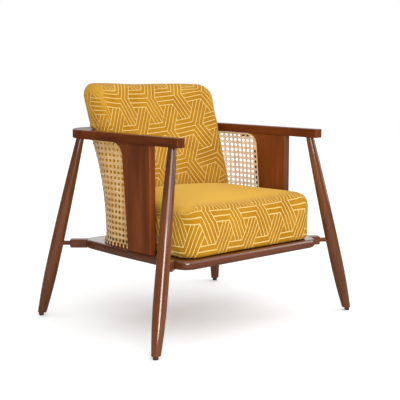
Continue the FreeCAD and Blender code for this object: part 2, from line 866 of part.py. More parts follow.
def build_cane():
    low, high = float(deck_top + size("base_height")), float(arm_under)
    hidden_front = float(splat_foot_rear - size("cane_tuck"))
    wires = []
    for number in range(cane_levels):
        z = low + (high - low) * number / (cane_levels - 1)
        wires.append(u_wire(z, *cane_plan(z), hidden_front, float(size("cane_thick"))))
    blank = plain_shape("cane_blank", Part.makeLoft(wires, True, False))
    trimmed = cut("cane_trimmed", blank, [splat_right, splat_left])
    keep_node(cut("cane_open", trimmed, both_sides(cane_openings())), "cane_panel")


def build_base_rail():
    wire = u_wire(float(deck_top), float(base_side_x), float(base_back_y), float(size("base_radius")),
                  float(splat_foot_rear - size("cane_tuck")), float(size("base_width")))
    strip = Part.Face(wire).extrude(FreeCAD.Vector(0, 0, float(size("base_height"))))
    blank = plain_shape("base_rail_blank", strip)
    keep_node(cut("base_rail_trimmed", blank, [splat_right, splat_left]), "cane_base_rail")


build_cane()
build_base_rail()


# Cushions: lofts through level rings with drawn-in sides and a crown

def ring(z, half_width, front, rear, front_corner, rear_corner, rear_reach, front_draw, side_draw):
    """Closed ring at height z; a draw is how far a side's middle comes in."""
    step = 1 - math.sqrt(0.5)
    left, right = -half_width, half_width
    middle = (front + front_corner + rear - rear_corner) / 2
    arcs = [
        ((left + front_corner, front), (0, front + front_draw), (right - front_corner, front)),
        ((right - front_corner, front), (right - front_corner * step, front + front_corner * step),
         (right, front + front_corner)),
        ((right, front + front_corner), (right - side_draw, middle), (right, rear - rear_corner)),
        ((right, rear - rear_corner), (right - rear_reach * step, rear - rear_corner * step),
         (right - rear_reach, rear)),
    ]
    edges = [Part.Arc(*[vector(x, y, z) for x, y in arc]).toShape() for arc in arcs]
    edges.append(Part.LineSegment(vector(right - rear_reach, rear, z),
                                  vector(left + rear_reach, rear, z)).toShape())
    for arc in (arcs[3], arcs[2], arcs[1]):
        edges.append(Part.Arc(*[vector(-x, y, z) for x, y in arc[::-1]]).toShape())
    return Part.Wire(edges)


foot_roll_start = 20  # degrees: the foot's flat runs on to here
head_roll_stop = 80  # degrees: the top's flat starts here
roll_step = 5
crown_steps = 10
tiny = 1e-9


def quarter_roll(radius, bottom=None, top=None, first=0, last=90):
    """Heights and insets of a rounded edge, from its low end to its high end."""
    angles = [math.radians(degrees) for degrees in range(first, last + 1, roll_step)]
    if bottom is not None:
        return [(bottom + radius * (1 - math.cos(angle)), radius * (1 - math.sin(angle))) for angle in angles]
    return [(top - radius * (1 - math.sin(angle)), radius * (1 - math.cos(angle))) for angle in angles]


def even_levels(path, spacing):
    """Heights and insets at even steps along a path, so that a loft through them runs smooth."""
    lengths = [0.0]
    for first, second in zip(path, path[1:]):
        lengths.append(lengths[-1] + math.dist(first, second))
    count = round(lengths[-1] / spacing)
    levels = []
    for number in range(count + 1):
        along = lengths[-1] * number / count
        place = max(index for index in range(len(path) - 1) if lengths[index] <= along + tiny)
        share = (along - lengths[place]) / max(lengths[place + 1] - lengths[place], tiny)
        levels.append([low + (high - low) * share for low, high in zip(path[place], path[place + 1])])
    return levels


def back_front(z):
    return float(back_foot_y) + (z - float(deck_top)) * tangent("back_recline")


def build_seat_cushion():
    bottom = float(deck_top + soft_gap)
    edge_top = float(deck_top + size("seat_thick"))
    roll = float(size("seat_roll"))
    crown, reach = float(size("seat_crown")), float(size("seat_crown_reach"))
    corner, draw_in = float(size("seat_corner_radius")), float(size("seat_draw_in"))
    rear_corner = float(size("seat_rear_radius"))
    path = quarter_roll(float(size("seat_foot_roll")), bottom=bottom, first=foot_roll_start)
    path += quarter_roll(roll, top=edge_top)
    for step in range(1, crown_steps + 1):
        share = step / crown_steps
        path.append((edge_top + crown * (1 - (1 - share) ** 2), roll + (reach - roll) * share))
    clearance = float(size("back_swell")) + float(soft_gap)
    wires = []
    for z, inset in even_levels(path, float(size("seat_level_spacing"))):
        rear = back_front(z) - clearance - inset * float(size("seat_rear_inset"))
        wires.append(ring(z, float(seat_half_width) - inset, float(seat_front_y) + inset, rear,
                          corner, rear_corner, rear_corner, draw_in, draw_in))
    keep_node(plain_shape("seat_cushion_loft", Part.makeLoft(wires, True, False)), "seat_cushion")


def free_share(z):
    """0 where the back cushion is tucked inside the arms, 1 where it stands free above them."""
    share = min(max((z - float(arm_top)) / float(size("back_swell_rise")), 0), 1)
    return share * share * (3 - 2 * share)


def back_rear(z):
    tucked = cane_back(min(z, float(arm_under))) - float(size("back_cane_gap"))
    shoulder = float(size("back_top") - size("back_corner_drop"))
    free = back_front(shoulder) + float(size("back_thick")) - (shoulder - z) * tangent("back_rear_lean")
    return tucked + (free - tucked) * free_share(z)


def build_back_cushion():
    drop = float(size("back_corner_drop"))
    shoulder = float(size("back_top")) - drop
    path = quarter_roll(float(size("back_foot_roll")), bottom=float(deck_top + soft_gap))
    path += quarter_roll(drop, top=shoulder + drop, last=head_roll_stop)
    wires = []
    for z, inset in even_levels(path, float(size("back_level_spacing"))):
        at_top = z > shoulder
        front = back_front(z) + inset * (float(size("back_front_top_turn")) if at_top else 1)
        rear = back_rear(z) - inset * (float(size("back_rear_top_turn")) if at_top else 1)
        thick = rear - front
        free = free_share(z)
        rear_corner = thick * (float(size("tucked_corner_depth")) * (1 - free) + float(size("free_corner")) * free)
        rear_reach = thick * (float(size("tucked_corner_reach")) * (1 - free) + float(size("free_corner")) * free)
        wires.append(ring(z, float(back_half_width) - inset, front, rear,
                          thick * float(size("back_front_corner")), rear_corner, rear_reach,
                          -float(size("back_swell")), float(size("back_side_draw"))))
    slab = plain_shape("back_cushion_loft", Part.makeLoft(wires, True, False))
    keep_node(cut("back_cushion_slotted", slab, [back_board("board_slot", soft_gap)]), "back_cushion")


build_seat_cushion()
build_back_cushion()


# Checks and files

doc.recompute()
faults = [item.Name for item in doc.Objects if "Invalid" in item.State or "Error" in item.State]
for node in nodes:
    if node.Shape.isNull() or not node.Shape.isValid():
        faults.append(node.Label)
if faults:
    raise RuntimeError("failed objects: " + ", ".join(faults))
os.makedirs("parts", exist_ok=True)
for node in nodes:
    node.Shape.exportStep("parts/%s.step" % node.Label)
    print("%-26s solids %d  volume %.0f" % (node.Label, len(node.Shape.Solids), node.Shape.Volume))
print("nodes", len(nodes))
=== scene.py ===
import math

import bmesh
import bpy
from mathutils import Matrix, Vector, noise


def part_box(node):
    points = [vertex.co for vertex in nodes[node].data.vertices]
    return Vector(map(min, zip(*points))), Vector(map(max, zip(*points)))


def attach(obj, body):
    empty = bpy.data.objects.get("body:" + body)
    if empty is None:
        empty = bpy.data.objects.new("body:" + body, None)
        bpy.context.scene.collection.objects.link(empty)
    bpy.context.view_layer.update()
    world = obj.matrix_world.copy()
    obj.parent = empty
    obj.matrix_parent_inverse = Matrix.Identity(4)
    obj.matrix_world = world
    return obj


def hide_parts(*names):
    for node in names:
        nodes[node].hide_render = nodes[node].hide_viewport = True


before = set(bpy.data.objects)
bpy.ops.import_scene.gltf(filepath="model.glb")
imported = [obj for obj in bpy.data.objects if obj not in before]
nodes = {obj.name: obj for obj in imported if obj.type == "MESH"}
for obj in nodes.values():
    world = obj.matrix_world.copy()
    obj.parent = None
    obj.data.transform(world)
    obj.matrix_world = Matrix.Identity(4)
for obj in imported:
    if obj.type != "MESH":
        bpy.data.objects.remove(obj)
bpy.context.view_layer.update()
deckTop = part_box("rear_rail")[1].z
armUnder, armTop = (corner.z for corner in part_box("back_rail"))
quarter = math.pi / 2
print("frame loaded:", len(nodes), "nodes")


# small helpers for meshes

def newObject(name, data):
    added = bpy.data.objects.new(name, data)
    bpy.context.scene.collection.objects.link(added)
    return added


def meshFrom(name, bm):
    mesh = bpy.data.meshes.new(name)
    bm.to_mesh(mesh)
    bm.free()
    return mesh


def newPiece(name, mesh, material):
    piece = newObject(name, mesh)
    mesh.materials.clear()
    mesh.materials.append(material)
    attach(piece, "root")
    return piece


def shadeSmooth(mesh):
    mesh.polygons.foreach_set("use_smooth", [True] * len(mesh.polygons))


def applied(piece):
    # the piece's mesh with its modifiers worked in
    shapes = bpy.context.evaluated_depsgraph_get()
    mesh = bpy.data.meshes.new_from_object(piece.evaluated_get(shapes))
    piece.modifiers.clear()
    piece.data = mesh
    return mesh


def smoothStep(low, high, value):
    share = min(max((value - low) / (high - low), 0.0), 1.0)
    return share * share * (3 - 2 * share)


# small helpers for shader nodes

def put(tree, kind, **settings):
    node = tree.nodes.new(kind)
    for key, value in settings.items():
        setattr(node, key, value)
    return node


def feed(tree, socket, value):
    if isinstance(value, bpy.types.NodeSocket):
        tree.links.new(value, socket)
    else:
        socket.default_value = value


def calc(tree, operation, first, second=0.0):
    node = put(tree, "ShaderNodeMath", operation=operation)
    for socket, value in zip(node.inputs, (first, second)):
        feed(tree, socket, value)
    return node.outputs[0]


def ramp(tree, value, low, high, fromLow=0.0, fromHigh=1.0):
    node = put(tree, "ShaderNodeMapRange", interpolation_type="SMOOTHSTEP")
    for socket, number in zip(node.inputs, (value, fromLow, fromHigh, low, high)):
        feed(tree, socket, number)
    return node.outputs[0]


def mixValues(tree, share, first, second):
    node = put(tree, "ShaderNodeMix", data_type="FLOAT")
    feed(tree, node.inputs[0], share)
    feed(tree, node.inputs[2], first)
    feed(tree, node.inputs[3], second)
    return node.outputs[0]


def blendColour(tree, share, first, second, mode="MIX"):
    node = put(tree, "ShaderNodeMix", data_type="RGBA", blend_type=mode)
    feed(tree, node.inputs["Factor"], share)
    feed(tree, node.inputs[6], first)
    feed(tree, node.inputs[7], second)
    return node.outputs[2]


def noiseField(tree, vector, scale, detail=3.0, stretch=(1.0, 1.0, 1.0)):
    place = put(tree, "ShaderNodeMapping")
    feed(tree, place.inputs["Vector"], vector)
    place.inputs["Scale"].default_value = stretch
    field = put(tree, "ShaderNodeTexNoise")
    feed(tree, field.inputs["Vector"], place.outputs[0])
    field.inputs["Scale"].default_value = scale
    field.inputs["Detail"].default_value = detail
    return field.outputs["Fac"]


def newGroup(name, inputs, outputs):
    tree = bpy.data.node_groups.new(name, "ShaderNodeTree")
    for label, kind in inputs:
        tree.interface.new_socket(label, in_out="INPUT", socket_type=kind)
    for label, kind in outputs:
        tree.interface.new_socket(label, in_out="OUTPUT", socket_type=kind)
    return tree, put(tree, "NodeGroupInput").outputs, put(tree, "NodeGroupOutput").inputs


def newMaterial(name):
    material = bpy.data.materials.new(name)
    material.use_nodes = True
    tree = material.node_tree
    return material, tree, tree.nodes["Principled BSDF"].inputs


def useGroup(tree, group, **values):
    node = put(tree, "ShaderNodeGroup", node_tree=group)
    for label, value in values.items():
        feed(tree, node.inputs[label], value)
    return node.outputs


def bumpFrom(tree, height, distance, strength=1.0):
    node = put(tree, "ShaderNodeBump")
    feed(tree, node.inputs["Height"], height)
    node.inputs["Distance"].default_value = distance
    node.inputs["Strength"].default_value = strength
    return node.outputs[0]


vectorIn = ("Vector", "NodeSocketVector")


# wood grain, running along the X of its vector

def makeGrainGroup():
    tree, given, out = newGroup(
        "woodGrain",
        [vectorIn] + [(label, "NodeSocketColor") for label in ("Dark", "Light", "Streak")],
        [("Color", "NodeSocketColor"), ("Roughness", "NodeSocketFloat"), ("Height", "NodeSocketFloat")])
    vector = given["Vector"]
    broad = noiseField(tree, vector, 9.0, 2.0, (0.35, 1.6, 1.6))
    streaks = noiseField(tree, vector, 60.0, 4.0, (0.05, 1.0, 1.0))
    fine = noiseField(tree, vector, 420.0, 3.0, (0.03, 1.0, 1.0))
    pores = noiseField(tree, vector, 900.0, 1.0, (0.05, 1.0, 1.0))
    mixed = calc(tree, "ADD", calc(tree, "MULTIPLY", broad, 0.6), calc(tree, "MULTIPLY", streaks, 0.4))
    tone = ramp(tree, mixed, 0.0, 1.0, 0.34, 0.66)
    ground = blendColour(tree, tone, given["Dark"], given["Light"])
    lined = blendColour(tree, ramp(tree, streaks, 0.0, 0.55, 0.5, 0.78), ground, given["Streak"])
    pored = blendColour(tree, ramp(tree, pores, 0.0, 0.35, 0.6, 0.75), lined, given["Streak"])
    feed(tree, out["Color"], blendColour(tree, ramp(tree, fine, 0.0, 0.25), pored, given["Streak"]))
    feed(tree, out["Roughness"], ramp(tree, broad, 0.2, 0.36))
    feed(tree, out["Height"], calc(tree, "MULTIPLY", calc(tree, "ADD", fine, streaks), 0.5))
    return tree


woodGrain = makeGrainGroup()

walnut = {
    "dark": (0.092, 0.0200, 0.0036, 1),
    "light": (0.200, 0.0470, 0.0085, 1),
    "streak": (0.042, 0.0100, 0.0022, 1),
    "shine": 0.05,
    "coat": 0.16,
    "coatRoughness": 0.1,
    "coatIor": 1.5,
    "relief": 0.00003,
    "frontEdge": (1, 1, 1, 1),
}


def makeWood(name, look, turn):
    # turn brings the grain onto the vector's X
    material, tree, shader = newMaterial(name)
    place = put(tree, "ShaderNodeMapping")
    feed(tree, place.inputs["Vector"], put(tree, "ShaderNodeTexCoord").outputs["Object"])
    place.inputs["Rotation"].default_value = turn
    grain = useGroup(tree, woodGrain, Vector=place.outputs[0], Dark=look["dark"], Light=look["light"],
                     Streak=look["streak"])
    # the faces that look to the front get their colour multiplied by a tint: painted light on the front edges,
    # and a bluish painted reflection on the right panel's
    paintedLightFacing = (-0.9, -0.5)
    facing = put(tree, "ShaderNodeSeparateXYZ")
    feed(tree, facing.inputs[0], put(tree, "ShaderNodeNewGeometry").outputs["Normal"])
    front = ramp(tree, facing.outputs[1], 1.0, 0.0, *paintedLightFacing)
    feed(tree, shader["Base Color"], blendColour(tree, front, grain["Color"], look["frontEdge"], "MULTIPLY"))
    feed(tree, shader["Roughness"], grain["Roughness"])
    feed(tree, shader["Normal"], bumpFrom(tree, grain["Height"], look["relief"]))
    shader["Specular IOR Level"].default_value = look["shine"]
    shader["Coat Weight"].default_value = look["coat"]
    shader["Coat Roughness"].default_value = look["coatRoughness"]
    shader["Coat IOR"].default_value = look["coatIor"]
    return material


def toned(look, red, green, blue, **changes):
    # the same wood, lighter or darker by a share of each colour
    shares = (red, green, blue, 1)
    tones = {key: tuple(part * share for part, share in zip(look[key], shares))
             for key in ("dark", "light", "streak")}
    return {**look, **tones, **changes}


walnutAcross = makeWood("walnutAcross", walnut, (0, 0, 0))
walnutArm = makeWood("walnutArm", toned(walnut, 0.78, 0.78, 0.85), (0, 0, -quarter))
# the right arm is a lighter, bluer copy of the arm's wood: painted light on its side seen in shade
walnutArmPaintedLight = makeWood("walnutArmPaintedLight", toned(walnut, 0.98, 1.02, 1.35), (0, 0, -quarter))
# the left side panel's front edge is multiplied lighter: painted light
walnutUpright = makeWood("walnutUpright", toned(walnut, 1.07, 1.1, 1.15, coat=0.32,
                                                frontEdge=(1.6, 1.55, 1.4, 1)), (0, quarter, 0))
# the right side panel is a lighter, bluer copy of the panel's wood: painted light on its inner face seen in
# shade, and a bluish painted reflection on its front edge
walnutUprightPaintedLight = makeWood("walnutUprightPaintedLight", toned(walnut, 1.52, 1.75, 2.1, coat=0.32,
                                                        frontEdge=(0.57, 0.82, 1.9, 1)), (0, quarter, 0))
walnutTurned = makeWood("walnutTurned", toned(walnut, 0.86, 1.01, 1.24, coat=1.0, coatRoughness=0.08,
                                              coatIor=1.8, relief=0.000004), (0, quarter, 0))
platformWalnut = toned(walnut, 0.75, 0.82, 1.0, coat=1.0, coatIor=1.7)
walnutRail = makeWood("walnutRail", platformWalnut, (0, 0, 0))
walnutSideRail = makeWood("walnutSideRail", platformWalnut, (0, 0, -quarter))

rawWood = {
    "dark": (0.36, 0.22, 0.115, 1),
    "light": (0.56, 0.38, 0.215, 1),
    "streak": (0.25, 0.14, 0.07, 1),
    "shine": 0.2,
    "coat": 0.0,
    "coatRoughness": 0.5,
    "coatIor": 1.5,
    "relief": 0.0002,
    "frontEdge": (1, 1, 1, 1),
}
plainPly = makeWood("plainPly", rawWood, (0, 0, 0))

for name, node in nodes.items():
    if name.startswith("leg_"):
        finish = walnutTurned
    elif name.startswith("side_panel"):
        finish = walnutUprightPaintedLight if name.endswith("right") else walnutUpright
    elif name.startswith("arm_"):
        finish = walnutArmPaintedLight if name.endswith("right") else walnutArm
    elif name.startswith("side_rail"):
        finish = walnutSideRail
    elif name.startswith(("front_rail", "rear_rail", "corner_block")):
        finish = walnutRail
    elif name in ("seat_panel", "back_board", "rail_dowels", "block_dowels"):
        finish = plainPly
    else:
        finish = walnutAcross
    node.data.materials.clear()
    node.data.materials.append(finish)
print("wood finished")


# nylon glides

glideLook = {"colour": (0.050, 0.024, 0.017, 1), "worn": (0.10, 0.06, 0.045, 1)}


def makeNylon(look):
    material, tree, shader = newMaterial("darkNylon")
    place = put(tree, "ShaderNodeTexCoord").outputs["Object"]
    scuffs = noiseField(tree, place, 320.0, 4.0)
    feed(tree, shader["Base Color"], blendColour(tree, ramp(tree, scuffs, 0.0, 0.6, 0.5, 0.8),
                                                 look["colour"], look["worn"]))
    feed(tree, shader["Roughness"], ramp(tree, scuffs, 0.4, 0.62))
    feed(tree, shader["Normal"], bumpFrom(tree, scuffs, 0.0001))
    return material


darkNylon = makeNylon(glideLook)
for name, node in nodes.items():
    if name.startswith("glide_"):
        node.data.materials[0] = darkNylon


# upholstery cloth: cream lines of an interlaced three-way band pattern on mustard

def rampDown(tree, value, edge):
    # 1 on the line, falling to 0 just past its edge
    node = put(tree, "ShaderNodeMapRange", interpolation_type="SMOOTHSTEP")
    feed(tree, node.inputs["Value"], value)
    feed(tree, node.inputs["From Min"], calc(tree, "MULTIPLY", edge, 0.7))
    feed(tree, node.inputs["From Max"], calc(tree, "MULTIPLY", edge, 1.3))
    node.inputs["To Min"].default_value = 1.0
    node.inputs["To Max"].default_value = 0.0
    return node.outputs[0]


def makeBandGroup():
    # lines along the edges of a triangle lattice, in bands that turn at each lattice point
    tree, given, out = newGroup(
        "interlacedBands",
        [vectorIn] + [(label, "NodeSocketFloat") for label in ("Pitch", "Spacing", "Width")],
        [("Mask", "NodeSocketFloat")])
    parts = put(tree, "ShaderNodeSeparateXYZ")
    feed(tree, parts.inputs[0], given["Vector"])
    rise = math.sqrt(3) / 2
    row = calc(tree, "MULTIPLY", given["Pitch"], rise)
    across = calc(tree, "DIVIDE", parts.outputs[0], row)
    up = calc(tree, "DIVIDE", parts.outputs[1], row)
    slant = calc(tree, "SUBTRACT", calc(tree, "MULTIPLY", across, rise), calc(tree, "MULTIPLY", up, 0.5))
    first = calc(tree, "FRACT", up)
    second = calc(tree, "FRACT", slant)
    total = calc(tree, "ADD", first, second)
    turned = calc(tree, "GREATER_THAN", total, 1.0)
    # shares of the way from each of the triangle's sides
    level = mixValues(tree, turned, first, calc(tree, "SUBTRACT", 1.0, first))
    rising = mixValues(tree, turned, second, calc(tree, "SUBTRACT", 1.0, second))
    falling = mixValues(tree, turned, calc(tree, "SUBTRACT", 1.0, total),
                        calc(tree, "SUBTRACT", total, 1.0))
    step = calc(tree, "DIVIDE", given["Spacing"], row)
    halfLine = calc(tree, "DIVIDE", calc(tree, "MULTIPLY", given["Width"], 0.5), row)
    band = calc(tree, "MULTIPLY", step, 2.0)
    masks = []
    for side, stopUp, stopDown in ((level, rising, falling), (rising, falling, level),
                                   (falling, level, rising)):
        stop = mixValues(tree, turned, stopUp, stopDown)
        inside = calc(tree, "MULTIPLY", calc(tree, "LESS_THAN", side, calc(tree, "ADD", band, halfLine)),
                      calc(tree, "GREATER_THAN", stop, calc(tree, "SUBTRACT", band, halfLine)))
        closest = calc(tree, "MULTIPLY", calc(tree, "ROUND", calc(tree, "DIVIDE", side, step)), step)
        fromLine = calc(tree, "ABSOLUTE", calc(tree, "SUBTRACT", side, closest))
        masks.append(calc(tree, "MULTIPLY", rampDown(tree, fromLine, halfLine), inside))
    feed(tree, out["Mask"], calc(tree, "MAXIMUM", masks[0], calc(tree, "MAXIMUM", masks[1], masks[2])))
    return tree


def makeWeaveGroup():
    tree, given, out = newGroup("clothWeave", [vectorIn, ("Thread", "NodeSocketFloat")],
                                [("Height", "NodeSocketFloat"), ("Tone", "NodeSocketFloat")])
    parts = put(tree, "ShaderNodeSeparateXYZ")
    feed(tree, parts.inputs[0], given["Vector"])
    waves = []
    for socket in parts.outputs[:2]:
        turns = calc(tree, "DIVIDE", calc(tree, "MULTIPLY", socket, math.pi), given["Thread"])
        waves.append(calc(tree, "SINE", turns))
    feed(tree, out["Height"], calc(tree, "ABSOLUTE", calc(tree, "MULTIPLY", waves[0], waves[1])))
    feed(tree, out["Tone"], noiseField(tree, given["Vector"], 14.0, 4.0))
    return tree


interlacedBands = makeBandGroup()
clothWeave = makeWeaveGroup()

cloth = {
    "ground": (0.447, 0.218, 0.0125, 1),
    "shade": (0.361, 0.160, 0.0070, 1),
    "plain": (0.65, 0.373, 0.051, 1),
    "line": (0.74, 0.53, 0.20, 1),
    "thread": 0.0011,
    "lineWidth": 0.0020,
    "valleyShade": 0.18,
    "lineRaised": 1.5,
    "relief": 0.0002,
    "reliefShare": 0.6,
    "sheen": 0.05,
    "sheenRoughness": 0.4,
    "shine": 0.09,
}


def makeCloth(name, look, pitch, spacing):
    material, tree, shader = newMaterial(name)
    place = put(tree, "ShaderNodeUVMap", uv_map="cut").outputs[0]
    fade = put(tree, "ShaderNodeAttribute", attribute_name="printed").outputs["Fac"]
    weave = useGroup(tree, clothWeave, Vector=place, Thread=look["thread"])
    bands = useGroup(tree, interlacedBands, Vector=place, Pitch=pitch, Spacing=spacing,
                     Width=look["lineWidth"])
    printed = calc(tree, "MULTIPLY", bands["Mask"], fade)
    uneven = ramp(tree, weave["Tone"], 0.0, 1.0, 0.3, 0.7)
    ground = blendColour(tree, uneven, look["ground"], look["shade"])
    ground = blendColour(tree, fade, look["plain"], ground)
    coloured = blendColour(tree, printed, ground, look["line"])
    # the low spots of the weave are darkened towards the shade colour: painted shade between the threads
    valleyShaded = blendColour(tree, ramp(tree, weave["Height"], look["valleyShade"], 0.0), coloured, look["shade"])
    feed(tree, shader["Base Color"], valleyShaded)
    feed(tree, shader["Roughness"], ramp(tree, weave["Height"], 0.9, 0.78))
    raised = calc(tree, "ADD", weave["Height"], calc(tree, "MULTIPLY", printed, look["lineRaised"]))
    feed(tree, shader["Normal"], bumpFrom(tree, raised, look["relief"], look["reliefShare"]))
    shader["Sheen Weight"].default_value = look["sheen"]
    shader["Sheen Roughness"].default_value = look["sheenRoughness"]
    shader["Specular IOR Level"].default_value = look["shine"]
    return material


filling = {"cap": 0.002, "pressure": 4.0, "stiffness": 25, "bending": 2.0, "frames": 20, "rippleScale": 9.0,
           "weld": 1e-5}


def swell(piece, voxel):
    # even quads, then cloth under pressure; where each point lay before is kept for cutting the cloth
    remesh = piece.modifiers.new("remesh", "REMESH")
    remesh.mode = "VOXEL"
    remesh.voxel_size = voxel
    mesh = applied(piece)
    before = [(vertex.co.copy(), vertex.normal.copy()) for vertex in mesh.vertices]
    padding = piece.modifiers.new("padding", "CLOTH")
    settings = padding.settings
    settings.use_pressure = True
    settings.uniform_pressure_force = filling["pressure"]
    settings.effector_weights.gravity = 0.0
    settings.tension_stiffness = filling["stiffness"]
    settings.compression_stiffness = filling["stiffness"]
    settings.bending_stiffness = filling["bending"]
    padding.point_cache.frame_start = 1
    padding.point_cache.frame_end = filling["frames"]
    scene = bpy.context.scene
    for step in range(1, filling["frames"] + 1):
        scene.frame_set(step)
    mesh = applied(piece)
    scene.frame_set(1)
    for vertex, (place, normal) in zip(mesh.vertices, before):
        move = vertex.co - place
        if move.length > filling["cap"]:
            vertex.co = place + move.normalized() * filling["cap"]
    return mesh, before


backSlot = {"footY": 0.106, "lean": 13.5, "halfWidth": 0.1806, "halfThick": 0.0066, "grow": 0.0008}


def closeSlot(bm):
    # the room for the back board isn't seen, so its walls go and the foot is closed again
    lean = Matrix.Rotation(math.radians(backSlot["lean"]), 4, "X")
    foot = Vector((0, backSlot["footY"], deckTop))
    inner = []
    for face in bm.faces:
        places = [lean @ (vertex.co - foot) for vertex in face.verts]
        if all(abs(place.x) < backSlot["halfWidth"] + backSlot["grow"]
               and abs(place.y) < backSlot["halfThick"] + backSlot["grow"] for place in places):
            inner.append(face)
    bmesh.ops.delete(bm, geom=inner, context="FACES")
    bmesh.ops.holes_fill(bm, edges=[edge for edge in bm.edges if edge.is_boundary])


def cushionPiece(name, node, material, shape, bulge):
    bm = bmesh.new()
    bm.from_mesh(nodes[node].data)
    bmesh.ops.remove_doubles(bm, verts=bm.verts, dist=filling["weld"])
    if node == "back_cushion":
        closeSlot(bm)
    bm.normal_update()
    for vertex in bm.verts:
        vertex.co -= vertex.normal * shape["shrink"]
    piece = newPiece(name, meshFrom(name, bm), material)
    mesh, before = swell(piece, shape["voxel"])
    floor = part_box(node)[0].z
    normals = [vertex.normal.copy() for vertex in mesh.vertices]
    for vertex, normal in zip(mesh.vertices, normals):
        vertex.co += normal * noise.noise(vertex.co * filling["rippleScale"]) * shape["ripple"]
        vertex.co += bulge(vertex.co, normal)
        vertex.co.z = max(vertex.co.z, floor)
    mesh.materials.clear()
    mesh.materials.append(material)
    shadeSmooth(mesh)
    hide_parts(node)
    return piece, mesh, before


def cutMap(mesh, before, cutAt, printAt):
    # the cloth's own flat coordinates in metres, and where the lines are woven in
    layer = mesh.uv_layers.new(name="cut")
    for polygon in mesh.polygons:
        corners = [mesh.loops[loop].vertex_index for loop in polygon.loop_indices]
        middle = sum((before[corner][0] for corner in corners), Vector()) / len(corners)
        facing = sum((before[corner][1] for corner in corners), Vector()).normalized()
        for loop, corner in zip(polygon.loop_indices, corners):
            layer.data[loop].uv = cutAt(*before[corner], middle, facing)
    printed = mesh.attributes.new("printed", "FLOAT", "POINT")
    printed.data.foreach_set("value", [printAt(*place) for place in before])


def sideShare(normal):
    # 1 on a cushion's side walls, 0 on its front and over its top
    softened = 0.02
    return normal.x ** 2 / (normal.x ** 2 + normal.z ** 2 + softened)


seatShape = {"shrink": -0.001, "voxel": 0.005, "ripple": 0.0012}
seatCut = {"pitch": 0.103, "spacing": 0.0113, "stretch": 1.4, "nodeX": 0.0167, "nodeZ": 0.364, "seam": 0.002,
           "topShift": 0.026, "drawn": 1.07, "drawnFrom": -0.12}
seatPrint = {"start": 0.006, "slant": 0.02, "fringe": 0.034, "fringeMore": 0.020, "moreBetween": (-0.22, -0.15),
             "topFacing": (0.3, 0.75), "litSidesEnd": (-0.12, -0.06)}
crown = {"rise": 0.0195, "middle": -0.080, "left": 0.19, "right": 0.25, "sag": -0.2, "start": 0.03,
         "edge": 0.007, "edgeFrom": -0.10, "facing": (0.1, 0.7)}

seatLow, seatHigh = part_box("seat_cushion")
# the seat's cloth is a darker copy of the same cloth: painted shade, as the seat takes more light than the back
seatShadedLook = {**cloth, "ground": (0.425, 0.207, 0.0105, 1), "shade": (0.343, 0.152, 0.0060, 1)}
seatCloth = makeCloth("seatCloth", seatShadedLook, seatCut["pitch"], seatCut["spacing"])


def raiseCrown(place, normal):
    # the filling stands higher towards the back, and a little along the sides in front
    away = place.x - crown["middle"]
    across = max(1 - (away / crown["left" if away < 0 else "right"]) ** 2, crown["sag"])
    along = smoothStep(seatLow.y + crown["start"], seatHigh.y, place.y)
    fore = 1 - smoothStep(crown["edgeFrom"], seatHigh.y, place.y)
    edge = crown["edge"] * (place.x / crown["right"]) ** 2 * fore
    return Vector((0, 0, (crown["rise"] * across * along + edge) * smoothStep(*crown["facing"], normal.z)))


seatCushion, seatMesh, seatBefore = cushionPiece("seatCushion", "seat_cushion", seatCloth, seatShape,
                                                 raiseCrown)
seatRoll = {"radius": 0.034, "top": 0.372}


def overSeat(place, share):
    # height up the front, then round the roll and back over the top
    depth = max(place.y - seatLow.y, 0.0)
    rollLow = seatRoll["top"] - seatRoll["radius"]
    if place.z > rollLow and share < 0.5:
        turn = min(math.atan2(place.z - rollLow, max(seatRoll["radius"] - depth, 0.0)), quarter)
        return rollLow + seatRoll["radius"] * turn + max(depth - seatRoll["radius"], 0.0)
    return place.z + depth * (1 - share)


def seatCutAt(place, normal, middle, facing):
    depth = max(place.y - seatLow.y, 0.0)
    share = sideShare(normal)
    up = (overSeat(place, share) - seatCut["nodeZ"]) / seatCut["stretch"]
    if overSeat(middle, sideShare(facing)) > seatCut["nodeZ"] + seatCut["seam"]:
        up += seatCut["topShift"]
    # drawn out towards the left corner
    drawn = seatCut["drawn"] * max(seatCut["drawnFrom"] - place.x, 0.0) ** 2
    return (place.x + drawn + math.copysign(depth * share, place.x) - seatCut["nodeX"], up)


def seatPrintAt(place, normal):
    # the lines run out on the top, sooner on the left, and on the sides behind the side panels; there the
    # plain, lighter mustard is painted light on sides seen in shade through the cane
    start = seatLow.y + seatPrint["start"] + seatPrint["slant"] * (place.x - seatLow.x)
    fringe = seatPrint["fringe"] + seatPrint["fringeMore"] * smoothStep(*seatPrint["moreBetween"], place.x)
    top = smoothStep(start, start + fringe, place.y) * smoothStep(*seatPrint["topFacing"], normal.z)
    return 1.0 - max(top, smoothStep(*seatPrint["litSidesEnd"], place.y))


cutMap(seatMesh, seatBefore, seatCutAt, seatPrintAt)
print("seat cushion made:", len(seatMesh.polygons), "faces")


